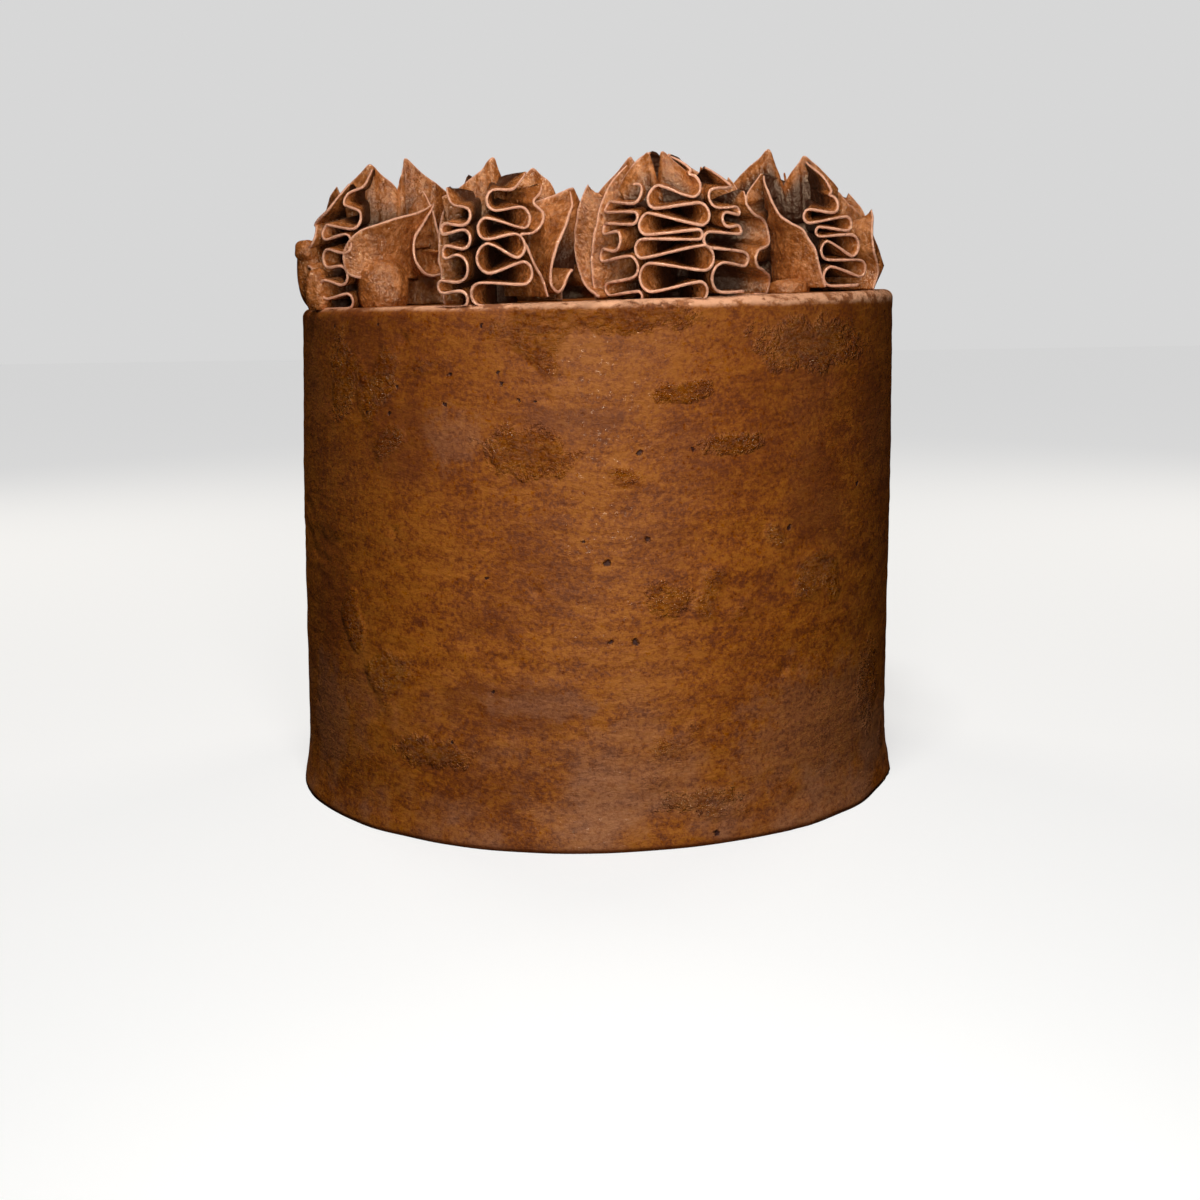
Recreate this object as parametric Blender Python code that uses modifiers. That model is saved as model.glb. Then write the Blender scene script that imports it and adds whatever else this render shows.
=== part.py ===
"""A tall frosted layer cake with a ring of eight ruffled, star-piped swirls on its top.

Metres, +Z up. The origin is the middle of the cake's base, and the cake's front is towards -Y.
Each swirl is a core of frosting with thin fins round it. A ruffled fin's outer edge runs from side
to side in teardrop loops as it climbs, and ends in a pulled point. The other fins are smooth leaves,
and crowns: broad sheets across the swirl that make its blunt peaks.
"""

import math
import random

import bmesh
import bpy
from mathutils import Euler, Matrix, Vector

MM = 0.001

# The frosted cake
CAKE_HEIGHT = 130 * MM
TOP_RADIUS = 79.6 * MM
LOW_RADIUS = 81 * MM
FOOT_RADIUS = 82.6 * MM
FOOT_HEIGHT = 13 * MM
FOOT_EDGE = 1.5 * MM
FOOT_BULGE = 0.35  # how much of the foot's flare is reached half-way up it
RIM_ROUND = 2.4 * MM
RIM_POINTS = 4
MERGE_WITHIN = 0.01 * MM
SHARP_DEG = 40
TOP_SLOPE = 0.018  # rise towards +X: the top isn't quite level
LEAN = 0.0154  # the side leans towards +X by this share of the height
SIDE_WAVE = 0.45 * MM
SIDE_WAVE_TWIST = 3  # radians that the wave turns through from the foot to the top
CAKE_STEPS = 48

# The ring of swirls
SWIRLS = 8
SHOWN_SWIRLS = 4  # the first four are the ones seen from the front
FIRST_SWIRL_DEG = -70  # from the front, positive towards +X
RING_RADIUS = 58.6 * MM
CONTACT_GAP = 0.3 * MM
BACK_HEIGHT = 0.86  # of the full height: the swirls at the back don't show above those in front
BACK_LEADS_DEG = (0, 25, 55, 10)  # where each one's first fin is
BACK_PAIRS = 4  # of a ruffled fin and a smooth one
BACK_LEAF_TURN = 42
BACK_LOOPS = 5
BACK_PITCH = 4.6  # mm
BACK_HALF = 3.1  # mm
BACK_TOP = 31  # mm
BACK_LEAF_REACH = 0.9

# One swirl's outline, and the core inside it
SWIRL_RADIUS = 21.8 * MM
SWIRL_HEIGHT = 35.5 * MM
TIP_RADIUS = 7 * MM
FULLNESS = 3.6  # how long the outline stays wide before it closes to the tip
FOOT_TUCK = 0.1  # how much narrower the outline is at its foot
FOOT_TUCK_POWER = 6  # higher keeps the narrowing closer to the foot
CORE_RADIUS = 5.4 * MM
CORE_HEIGHT = 21 * MM
CORE_STEPS = 8
CORE_SHAPE = ((0, 1), (0.6, 0.93), (0.9, 0.7), (1, 0.3), (1, 0), (0, 0))  # shares of the radius and height

# The fins
FIN_THICKNESS = 0.95 * MM
ROOT_RADIUS = 2.6 * MM
ROOT_RISE = 3 * MM  # how far a fin climbs from its edge to its root, half-way up the swirl
LOOP_DEPTH = 0.85  # how far a loop's head reaches past its ends, in half-heights
LOOP_CLEARANCE = 1.3 * MM  # between the middle lines of two loops, one above the other
LOOP_ANGLES_DEG = (-62, 0, 62)  # the points round a loop's head
SHOWN_DEG = 44  # fins turned by less than this are seen well from the front
PLAIN_LOOP_ANGLES_DEG = (-48, 48)  # the same where the loop is at the back
SWING_UNEVEN = (0.92, 1.08)  # the range of each loop's own share of the swing
HALF_UNEVEN = (0.88, 1.1)  # and of its half-height
START_RUN_DEG = 26  # how far the first run goes before its loop
RUFFLE_FOLLOW = 0.3  # how much of a ruffled edge's swing is left at the root
LEAF_FOLLOW = 0.2
POINT_WIDTH = 1.2 * MM
POINT_CLOSING = 3  # higher keeps a pulled point wide for longer
POINT_TURN_SHARE = 0.9  # how far the root comes round to the edge's angle at the point
POINT_TURN_LEAD = 1.2  # the root has come round before the point is reached
POINT_TURN_POWER = 1.5
LEAF_CLOSING = 3  # how many points of a smooth edge belong to its pulled point

# The sorts of fin. Shares are of the way from an edge's foot to its tip
POINT_START = 0.6  # half-heights above the last loop's middle
POINT_SHARES = (0.4, 0.7, 1)
LEAF_FOOT = 0.5  # mm
LEAF_SHARES = (0, 0.25, 0.5, 0.78, 1)
LEAF_WAVE = 1.9  # radians of its wave between two of those shares
TONGUE_ANGLES_DEG = (0, -60, -120, -180)
TONGUE_SHARES = (0.3, 0.65, 1)
PETAL_SWEEP = 1.6
PETAL_RISE = 1.4
PETAL_STEPS = 7
CROWN_STEPS = 2  # on each side of a crown's peak
CROWN_BEND = 0.012  # how far a crown's sides bend back: its share of the distance squared, in mm
CROWN_TAPER = 0.86  # a crown's width at its low edge, as a share of its width at the top
DOLLOP_DETAIL = 2

ICING_BROWN = (0.105, 0.036, 0.011, 1)
RUFFLE_BROWN = (0.118, 0.042, 0.015, 1)
ICING_ROUGHNESS = 0.42
RUFFLE_ROUGHNESS = 0.38


def clear_scene():
    for obj in list(bpy.data.objects):
        bpy.data.objects.remove(obj, do_unlink=True)


def icing_material(name, colour, roughness):
    material = bpy.data.materials.new(name)
    material.use_nodes = True
    shader = material.node_tree.nodes["Principled BSDF"]
    shader.inputs["Base Color"].default_value = colour
    shader.inputs["Roughness"].default_value = roughness
    shader.inputs["Metallic"].default_value = 0
    return material


def linked(name, mesh, collection):
    obj = bpy.data.objects.new(name, mesh)
    collection.objects.link(obj)
    return obj


def evaluated_mesh(obj):
    bpy.context.view_layer.update()
    graph = bpy.context.evaluated_depsgraph_get()
    return bpy.data.meshes.new_from_object(obj.evaluated_get(graph))


def turned(name, profile, steps, collection):
    """A solid turned about Z from a profile that runs down its outer side."""
    mesh = bpy.data.meshes.new(name)
    edges = [(i, i + 1) for i in range(len(profile) - 1)]
    mesh.from_pydata([(x, 0, z) for x, z in profile], edges, [])
    obj = linked(name, mesh, collection)
    screw = obj.modifiers.new("turn", "SCREW")
    screw.steps = screw.render_steps = steps
    screw.use_merge_vertices = True
    screw.merge_threshold = MERGE_WITHIN
    obj.data = evaluated_mesh(obj)
    obj.modifiers.clear()
    return obj


def rim_arc():
    """The rounded upper edge, from the top face down to the side."""
    angles = [math.pi / 2 * i / (RIM_POINTS - 1) for i in range(RIM_POINTS)]
    inner, low = TOP_RADIUS - RIM_ROUND, CAKE_HEIGHT - RIM_ROUND
    return [(inner + RIM_ROUND * math.sin(a), low + RIM_ROUND * math.cos(a)) for a in angles]


def cake_profile():
    bulge = LOW_RADIUS + FOOT_BULGE * (FOOT_RADIUS - LOW_RADIUS)
    middle = (TOP_RADIUS + LOW_RADIUS) / 2
    return [
        (0, CAKE_HEIGHT),
        *rim_arc(),
        (middle, CAKE_HEIGHT / 2),
        (LOW_RADIUS, FOOT_HEIGHT),
        (bulge, FOOT_HEIGHT / 2),
        (FOOT_RADIUS, FOOT_EDGE),
        (FOOT_RADIUS, 0),
        (0, 0),
    ]


def top_height(x):
    return CAKE_HEIGHT + TOP_SLOPE * x


def make_cake(collection, material):
    cake = turned("cake", cake_profile(), CAKE_STEPS, collection)
    for vertex in cake.data.vertices:
        x, y, z = vertex.co
        share = z / CAKE_HEIGHT
        wave = math.sin(2 * math.atan2(y, x) + SIDE_WAVE_TWIST * share)
        swell = 1 + SIDE_WAVE * wave * math.sin(math.pi * share) / TOP_RADIUS
        vertex.co = (x * swell + LEAN * z, y * swell, z + TOP_SLOPE * x * share)
    cake.data.materials.append(material)
    cake.data.shade_smooth()
    cake.data.set_sharp_from_angle(angle=math.radians(SHARP_DEG))
    return cake


def outline_radius(height):
    """How far out a fin's edge is at this height."""
    share = min(max(height / SWIRL_HEIGHT, 0), 1)
    full = (1 - share**FULLNESS) * (1 - FOOT_TUCK * (1 - share) ** FOOT_TUCK_POWER)
    return TIP_RADIUS + (SWIRL_RADIUS - TIP_RADIUS) * full


def eased_loops(loops):
    """The loops, with any two that would touch made smaller."""
    eased = [list(loop) for loop in loops]
    for low, high in zip(eased, eased[2:]):
        over = low[2] + high[2] - (high[1] - low[1] - LOOP_CLEARANCE / MM)
        if over > 0:
            low[2] -= over / 2
            high[2] -= over / 2
    return eased


def ruffled_edge(fin, loop_angles):
    """The edge's points, as (degrees, mm up), loop by loop from the foot."""
    side = fin["first"]
    loops = eased_loops(fin["loops"])
    degrees, up, half = loops[0]
    points = [(degrees - side * START_RUN_DEG, max(up - half, 0))]
    for degrees, up, half in loops:
        depth = math.degrees(LOOP_DEPTH * half * MM / outline_radius(up * MM))
        for angle in (math.radians(a) for a in loop_angles):
            points.append((degrees - side * depth * (1 - math.cos(angle)), up + half * math.sin(angle)))
        side = -side
    return points + fin["point"]


def polar(radius, angle, height):
    """A point of the swirl's frame, whose outward direction is -Y. Angles open towards +X."""
    return Vector((radius * math.sin(angle), -radius * math.cos(angle), height))


def arch(share):
    """0 at both ends and 1 half-way."""
    return 4 * share * (1 - share)


def fin_points(fin, turn, plain):
    """Pairs of points, root and edge, up the fin."""
    ruffled = "loops" in fin
    shown = abs(fin["at"]) < SHOWN_DEG and not plain
    loop_angles = LOOP_ANGLES_DEG if shown else PLAIN_LOOP_ANGLES_DEG
    edge = ruffled_edge(fin, loop_angles) if ruffled else fin["edge"]
    closing = len(fin["point"]) if ruffled else LEAF_CLOSING
    first_closing = len(edge) - 1 - closing
    root_radius, root_turn_deg, root_squash = fin.get("root", (ROOT_RADIUS / MM, 0, 1))
    follow = RUFFLE_FOLLOW if ruffled else LEAF_FOLLOW
    root_middle = math.radians(fin["at"] + root_turn_deg)
    pairs = []
    for i, (degrees, up) in enumerate(edge):
        angle, height = math.radians(degrees), up * MM
        closed = max(0, (i - first_closing) / closing)
        share = height / SWIRL_HEIGHT
        radius = outline_radius(height) * fin.get("reach", 1) + fin.get("flare", 0) * MM * share**2
        inner = root_radius * MM
        inner += (max(radius - POINT_WIDTH, inner) - inner) * closed**POINT_CLOSING
        inner_angle = root_middle + follow * (angle - math.radians(fin["at"]))
        come_round = min(POINT_TURN_LEAD * closed, 1) ** POINT_TURN_POWER
        inner_angle += (angle - inner_angle) * POINT_TURN_SHARE * come_round
        inner_height = height * root_squash + ROOT_RISE * arch(share) * (1 - closed)
        pairs.append((polar(inner, inner_angle + turn, inner_height), polar(radius, angle + turn, height)))
    return pairs


def crown_points(fin, turn):
    """Pairs of points, low and high, from a crown's left side over its peak to its right side."""
    pairs = []
    for share in (i / CROWN_STEPS for i in range(-CROWN_STEPS, CROWN_STEPS + 1)):
        side = fin["right"] if share > 0 else fin["left"]
        across = fin["peak"] + abs(share) * (side - fin["peak"])
        up = fin["foot"] + (fin["top"] - fin["foot"]) * (1 - abs(share)) ** fin["power"]
        out = fin["out"] - CROWN_BEND * across**2
        ends = []
        for x, height in ((across * CROWN_TAPER, fin["low"]), (across, up)):
            ends.append(polar(math.hypot(x, out) * MM, math.atan2(x, out) + turn, height * MM))
        pairs.append(ends)
    return pairs


def make_fin(name, fin, turn, plain, collection):
    """The fin's middle surface, thickened."""
    points = crown_points(fin, turn) if "peak" in fin else fin_points(fin, turn, plain)
    mesh = bpy.data.meshes.new(name)
    surface = bmesh.new()
    rows = [[surface.verts.new(point) for point in pair] for pair in points]
    for low, high in zip(rows, rows[1:]):
        surface.faces.new((low[0], low[1], high[1], high[0]))
    surface.to_mesh(mesh)
    surface.free()
    obj = linked(name, mesh, collection)
    thicken = obj.modifiers.new("thickness", "SOLIDIFY")
    thicken.thickness = FIN_THICKNESS
    thicken.offset = 0
    obj.data = evaluated_mesh(obj)
    obj.modifiers.clear()
    flattened_below(obj.data)
    return obj


def make_dollop(name, lump_form, turn, collection):
    """A rounded lump."""
    angle = math.radians(lump_form["at"]) + turn
    mesh = bpy.data.meshes.new(name)
    lump = bmesh.new()
    bmesh.ops.create_icosphere(lump, subdivisions=DOLLOP_DETAIL, radius=MM)
    lump.transform(Matrix.Diagonal((*lump_form["half"], 1)))
    lump.transform(Matrix.Rotation(angle, 4, "Z"))
    lump.transform(Matrix.Translation(polar(lump_form["out"] * MM, angle, lump_form["up"] * MM)))
    lump.to_mesh(mesh)
    lump.free()
    flattened_below(mesh)
    return linked(name, mesh, collection)


def flattened_below(mesh):
    """Nothing of the swirl goes below the face that it rests on."""
    for vertex in mesh.vertices:
        vertex.co.z = max(vertex.co.z, 0)


def ruffle(
    at, first=1, swing=20, loops=6, pitch=3.9, half=(2.7, 2.7), foot=2.2, point_turn=12, top=33, **more
):
    """A ruffled fin: its loops lie on alternate sides, pitch apart, and it ends in a point.

    Angles are in degrees, and are turned from the way that the swirl faces. Sizes are in mm. The two
    half-heights are those of the loops on the first side and on the other.
    """
    rng = random.Random(round(at + 10 * top))
    side, rows = first, []
    for i in range(loops):
        degrees = at + side * swing * rng.uniform(*SWING_UNEVEN)
        rows.append((degrees, foot + pitch * i, half[i % 2] * rng.uniform(*HALF_UNEVEN)))
        side = -side
    last, up, last_half = rows[-1]
    start = up + POINT_START * last_half
    point = [(last + (at + point_turn - last) * s, start + (top - start) * s) for s in POINT_SHARES]
    return {"at": at, "first": first, "loops": rows, "point": point, **more}


def leaf(at, bend=10, top=33, root=(5, 0, 0.9), **more):
    """A smooth fin whose edge waves a little as it climbs."""
    edge = [
        (at + bend * math.sin(LEAF_WAVE * i), LEAF_FOOT + (top - LEAF_FOOT) * share)
        for i, share in enumerate(LEAF_SHARES)
    ]
    return {"at": at, "edge": edge, "root": root, **more}


def tongue(at, half_width, bottom, start, top, lean, **more):
    """A smooth fin whose edge hangs down in one long loop and climbs again to its point."""
    half = math.radians(half_width) * SWIRL_RADIUS / MM
    edge = [(at + half_width, start)]
    for angle in (math.radians(a) for a in TONGUE_ANGLES_DEG):
        edge.append((at + half_width * math.cos(angle), bottom + half + half * math.sin(angle)))
    rise = bottom + half
    edge += [(at - half_width + (half_width + lean) * s**2, rise + (top - rise) * s) for s in TONGUE_SHARES]
    return {"at": at, "edge": edge, **more}


def petal(low, high, foot, top, **more):
    """A broad smooth fin whose edge climbs at the angle low, then sweeps over to the angle high."""
    edge = [
        (low + (high - low) * s**PETAL_SWEEP, foot + (top - foot) * (1 - (1 - s) ** PETAL_RISE))
        for s in (i / PETAL_STEPS for i in range(PETAL_STEPS + 1))
    ]
    return {"at": low, "edge": edge, **more}


def crown(left, peak, right, foot, top, out, low, power=1.0):
    """A broad sheet across the swirl, out in front of its axis, whose upper edge rises to one peak.

    All in mm. Left, peak and right are distances across the swirl. A power below 1 makes a blunt
    peak and one above 1 makes a drawn-out one.
    """
    across = {"left": left, "peak": peak, "right": right}
    return {**across, "foot": foot, "top": top, "out": out, "low": low, "power": power}


def dollop(at, out, up, half):
    """A rounded lump of frosting: how far out and up its middle is, and half its width, depth and height."""
    return {"at": at, "out": out, "up": up, "half": half}


def back_ruffle(at, first=1, swing=20):
    size = {"loops": BACK_LOOPS, "pitch": BACK_PITCH, "half": (BACK_HALF, BACK_HALF)}
    return ruffle(at, first, swing, foot=BACK_HALF, top=BACK_TOP, **size)


def back_leaf(at):
    return leaf(at, top=BACK_TOP, reach=BACK_LEAF_REACH)


# The four swirls at the front, in order from the left
def left_swirl():
    return {
        "fins": [
            ruffle(-38, swing=12, loops=8, pitch=3.45, half=(2.1, 2.1), foot=2, point_turn=24, top=34.5),
            petal(low=-30, high=42, foot=7.5, top=25, root=(12.5, 62, 0.6), reach=1.02),
            tongue(31, half_width=12.5, bottom=7.5, start=14.5, top=25.5, lean=17, root=(4.5, 7, 0.9)),
            leaf(60, bend=5, top=29, root=(4, 0, 0.95), reach=0.8),
            ruffle(
                -76, -1, swing=9, loops=4, pitch=5.2, half=(2.6, 2.6),
                foot=3, point_turn=34, top=31, reach=0.93,
            ),
            crown(left=-9.5, peak=-2.5, right=4.8, foot=28, top=35.4, out=5, low=14, power=0.7),
            crown(left=3.2, peak=6.7, right=18.5, foot=27.5, top=36.9, out=4, low=13, power=1.1),
            back_leaf(112),
            back_ruffle(160, -1),
            back_leaf(205),
            back_leaf(245),
        ],
        "dollops": [
            dollop(at=-10, out=18.6, up=5.4, half=(5.6, 5, 6.6)),
            dollop(at=-58, out=20.4, up=4.6, half=(3.2, 3.6, 5.6)),
            dollop(at=-86, out=18.5, up=9, half=(3.6, 4.2, 8.5)),
        ],
    }


def left_front_swirl():
    return {
        "fins": [
            ruffle(4, -1, swing=17, loops=7, pitch=3.5, half=(2.8, 2.7), foot=2.5, point_turn=32, top=30),
            ruffle(-28, swing=11, loops=7, pitch=3.1, half=(2.7, 1.4), foot=1.8, point_turn=-12, top=27),
            ruffle(
                28, swing=8, loops=4, pitch=6, half=(2.8, 2.8), foot=2.5, point_turn=20, top=27, reach=0.96
            ),
            tongue(46, 10, bottom=2.5, start=8.5, top=25.5, lean=18, root=(4.5, 4, 0.9), reach=0.99, flare=7),
            crown(left=-11.5, peak=0.8, right=5, foot=25, top=33.7, out=6, low=12, power=1.35),
            crown(left=5.5, peak=10.3, right=15.5, foot=25, top=31.2, out=4, low=12, power=0.55),
            crown(left=8.5, peak=19.5, right=21.5, foot=22.5, top=26.4, out=8, low=14, power=0.9),
            leaf(-72, bend=5, top=24, reach=0.62),
            leaf(100, top=29, root=(5, 14, 0.9), reach=0.8),
            back_leaf(145),
            back_ruffle(190, swing=13),
        ],
        "dollops": [],
    }


def right_front_swirl():
    return {
        "fins": [
            ruffle(-6, swing=23, loops=9, pitch=3, half=(2.6, 2.9), foot=1.8, point_turn=-6, top=32.5),
            ruffle(-45, swing=15, loops=9, pitch=3.4, half=(2.2, 1.5), foot=1.2, point_turn=3, top=33.6),
            ruffle(
                30, -1, swing=13, loops=7, pitch=3, half=(2.5, 1.2),
                foot=4.2, point_turn=-6, top=29.5, reach=0.99,
            ),
            ruffle(
                65, swing=13, loops=3, pitch=6, half=(2.5, 2.2), foot=2.6, point_turn=-13, top=24, reach=1.02
            ),
            leaf(-80, bend=-3, top=27, root=(5, 0, 0.9), reach=1.12, flare=6),
            leaf(-67, bend=2, top=31, root=(5, 6, 0.9), reach=1.05),
            crown(left=-14, peak=-7.2, right=-5.3, foot=25, top=33.4, out=13, low=23, power=0.7),
            crown(left=-5.2, peak=-3.9, right=5.6, foot=24, top=33.2, out=13, low=23, power=0.85),
            crown(left=-4, peak=-2.2, right=15.5, foot=20, top=33, out=3, low=16, power=0.75),
            crown(left=-20, peak=-11, right=-7, foot=24, top=33, out=2, low=18, power=0.9),
            leaf(100, bend=6, top=28, root=(5, 0, 0.9), reach=0.8),
            back_leaf(138),
            back_leaf(178),
            back_ruffle(216),
        ],
        "dollops": [],
    }


def right_swirl():
    return {
        "fins": [
            petal(low=12, high=-40, foot=2, top=29, root=(12, -48, 0.75), reach=1.02),
            ruffle(
                -52, swing=8, loops=6, pitch=3.5, half=(2.1, 2.1), foot=3, point_turn=-4, top=30, reach=0.92
            ),
            ruffle(22, -1, swing=15, loops=8, pitch=2.6, half=(2.2, 2), foot=3.8, point_turn=-18, top=32),
            crown(left=-18.5, peak=-8.3, right=-4.6, foot=26, top=35.8, out=4, low=20, power=0.85),
            crown(left=-5.2, peak=0.6, right=9, foot=25.5, top=33.8, out=4, low=18, power=0.85),
            crown(left=3, peak=9, right=21, foot=6.5, top=25, out=2, low=0, power=0.62),
            leaf(62, bend=5, top=20, root=(5, -2, 0.9), reach=0.95),
            leaf(-88, top=26, root=(5, -10, 0.9), reach=0.7),
            leaf(112, top=25, reach=0.82),
            back_ruffle(150, -1, swing=15),
            back_leaf(190),
            back_leaf(225),
        ],
        "dollops": [dollop(at=-13, out=17.5, up=1.4, half=(5.4, 5.6, 2.4))],
    }


def back_swirl(lead):
    """A plainer swirl for the back of the ring: ruffled and smooth fins by turns from the angle lead."""
    fins = []
    for i in range(BACK_PAIRS):
        at = lead + i * 360 / BACK_PAIRS
        fins.append(back_ruffle(at, first=1 - 2 * (i % 2)))
        fins.append(back_leaf(at + BACK_LEAF_TURN))
    return {"fins": fins, "dollops": []}


# The front swirls' forms, and the way that each faces in degrees from straight out of the ring
RING = ((left_swirl, 79.4), (left_front_swirl, 30.7), (right_front_swirl, -20.6), (right_swirl, -69.7))


def core_profile():
    return [(radius * CORE_RADIUS, height * CORE_HEIGHT) for radius, height in CORE_SHAPE]


def joined(swirl, pieces):
    """The core with every fin and dollop of the collection joined to it."""
    join = swirl.modifiers.new("join", "BOOLEAN")
    join.operation = "UNION"
    join.operand_type = "COLLECTION"
    join.collection = pieces
    join.solver = "MANIFOLD"
    swirl.data = evaluated_mesh(swirl)
    swirl.modifiers.clear()
    for obj in list(pieces.objects):
        bpy.data.objects.remove(obj, do_unlink=True)
    bpy.data.collections.remove(pieces)


def swirl_form(index):
    """The swirl's fins and dollops, the turn of its form in radians and its share of the full height."""
    if index < SHOWN_SWIRLS:
        make_form, turn_deg = RING[index]
        return make_form(), math.radians(turn_deg), 1
    return back_swirl(BACK_LEADS_DEG[index - SHOWN_SWIRLS]), 0, BACK_HEIGHT


def make_swirl(index, collection, material):
    form, turn, tall = swirl_form(index)
    pieces = bpy.data.collections.new(f"pieces_{index + 1}")
    bpy.context.scene.collection.children.link(pieces)
    for k, fin in enumerate(form["fins"]):
        make_fin(f"fin_{index + 1}_{k + 1}", fin, turn, index >= SHOWN_SWIRLS, pieces)
    for k, lump_form in enumerate(form["dollops"]):
        make_dollop(f"dollop_{index + 1}_{k + 1}", lump_form, turn, pieces)
    swirl = turned(f"swirl_{index + 1}", core_profile(), CORE_STEPS, collection)
    joined(swirl, pieces)
    swirl.data.transform(Matrix.Diagonal((1, 1, tall, 1)))
    around = math.radians(FIRST_SWIRL_DEG + 360 * index / SWIRLS)
    x, y = RING_RADIUS * math.sin(around), -RING_RADIUS * math.cos(around)
    tilt = Euler((0, -math.atan(TOP_SLOPE), 0)).to_matrix()
    swirl.location = (x + LEAN * CAKE_HEIGHT, y, top_height(x) + CONTACT_GAP)
    swirl.rotation_euler = (tilt @ Euler((0, 0, around)).to_matrix()).to_euler()
    swirl.data.materials.clear()
    swirl.data.materials.append(material)
    swirl.data.shade_smooth()
    swirl.data.set_sharp_from_angle(angle=math.radians(SHARP_DEG))
    return swirl


def main():
    clear_scene()
    collection = bpy.data.collections.new("layer_cake")
    bpy.context.scene.collection.children.link(collection)
    make_cake(collection, icing_material("smooth_icing", ICING_BROWN, ICING_ROUGHNESS))
    ruffles = icing_material("piped_icing", RUFFLE_BROWN, RUFFLE_ROUGHNESS)
    for index in range(SWIRLS):
        make_swirl(index, collection, ruffles)


main()
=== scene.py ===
"""The look of the layer cake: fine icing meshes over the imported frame, materials, camera and light.

Metres, in the CAD's frame. The sizes and the sorts of fin repeat the part's own, so that each fine
piece has its CAD node's form. Angles round a swirl are in degrees and sizes on it are in millimetres.
"""

import math
import random

import bpy
import numpy as np
from mathutils import Euler, Matrix, Quaternion, Vector, noise


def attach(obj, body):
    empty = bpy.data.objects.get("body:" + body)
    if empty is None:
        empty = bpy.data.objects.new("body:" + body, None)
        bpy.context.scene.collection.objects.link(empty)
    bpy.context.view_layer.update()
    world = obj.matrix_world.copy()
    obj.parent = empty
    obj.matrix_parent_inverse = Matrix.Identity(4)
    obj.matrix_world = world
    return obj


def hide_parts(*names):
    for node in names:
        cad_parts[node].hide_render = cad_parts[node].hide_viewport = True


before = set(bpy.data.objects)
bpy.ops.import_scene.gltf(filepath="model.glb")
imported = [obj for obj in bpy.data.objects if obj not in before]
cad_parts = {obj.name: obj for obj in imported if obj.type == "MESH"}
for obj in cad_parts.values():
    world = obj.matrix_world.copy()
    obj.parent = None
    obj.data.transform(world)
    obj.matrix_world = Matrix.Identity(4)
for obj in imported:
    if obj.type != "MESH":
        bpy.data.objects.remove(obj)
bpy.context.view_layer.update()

MM = 0.001
TINY = 1e-9

# The frosted cake, as in the CAD
CAKE_HEIGHT = 130 * MM
TOP_RADIUS = 79.6 * MM
LOW_RADIUS = 81 * MM
FOOT_RADIUS = 82.6 * MM
FOOT_HEIGHT = 13 * MM
RIM_ROUND = 2.4 * MM
TOP_SLOPE = 0.018
LEAN = 0.0154
SIDE_WAVE = 0.45 * MM
SIDE_WAVE_TWIST = 3

# The cake's fine mesh and its relief, which the CAD leaves out
CAKE_COLUMNS = 520
SIDE_ROWS = 128
RIM_ROWS = 9
TOP_ROWS = 26
PROFILE_STEPS = 400
PROFILE_SMOOTHING = 8  # steps on each side that the profile is averaged over
FOOT_EDGE = 1.5 * MM
FOOT_CURVE = 0.35
POLE_SHARE = 1e-4  # a turned form's middle is this share of its radius wide
# Each spatula wave's size in mm, its scales round the side and up it, and its start in the noise
SPATULA_WAVES = ((0.30, 22, 28, 0), (0.17, 14, 150, 6), (0.07, 45, 520, 3))
ROUGH_FROM = 0.12
SMEAR_SIZE = 0.6
SMEAR_FRACTAL = (1.0, 2.1, 3)
LIP_SIZE = 0.75
LIP_HEIGHT = 11 * MM
RIM_EASE = 9 * MM
PITS = 150
PIT_SEED = 12
GOLDEN_SHARE = 0.618034
PIT_LOWEST = 8
PIT_SPAN = 116
PIT_SIZE = 0.55
PIT_SIZE_SPAN = 0.9
PIT_DEPTH = 0.75
PIT_REACH = 6
PIT_STEEPNESS = 1.6

# The ring of swirls and one swirl's outline, as in the CAD
SWIRLS = 8
SHOWN_SWIRLS = 4
FIRST_SWIRL_DEG = -70
RING_RADIUS = 58.6 * MM
SETTLING = 0.3 * MM  # how far the icing sinks into the cake's top
SWIRL_RADIUS = 21.8
SWIRL_HEIGHT = 35.5
TIP_RADIUS = 7
FULLNESS = 3.6
FOOT_TUCK = 0.1
BACK_HEIGHT = 0.86
BACK_LEADS_DEG = (0, 25, 55, 10)
BACK_PAIRS = 4
BACK_LEAF_TURN = 42
BACK_LOOPS = 5
BACK_PITCH = 4.6
BACK_HALF = 3.1
BACK_TOP = 31
BACK_LEAF_REACH = 0.9
CORE_RADIUS = 5.4
CORE_HEIGHT = 21

# The fins, as in the CAD
ROOT_RADIUS = 2.6
ROOT_RISE = 3
LOOP_DEPTH = 0.85
LOOP_CLEARANCE = 1.0
LOOP_ANGLES_DEG = (-90, -45, 0, 45, 90)
SWING_UNEVEN = (0.92, 1.08)
HALF_UNEVEN = (0.88, 1.1)
START_RUN_DEG = 26
RUFFLE_FOLLOW = 0.3
LEAF_FOLLOW = 0.2
POINT_WIDTH = 1.2
POINT_CLOSING = 3
POINT_START = 0.6
POINT_SHARES = (0.4, 0.7, 1)
LEAF_FOOT = 0.5
LEAF_SHARES = (0, 0.25, 0.5, 0.78, 1)
LEAF_WAVE = 1.9
CROWN_STEPS = 4
CROWN_BULGE = 1.6

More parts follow.
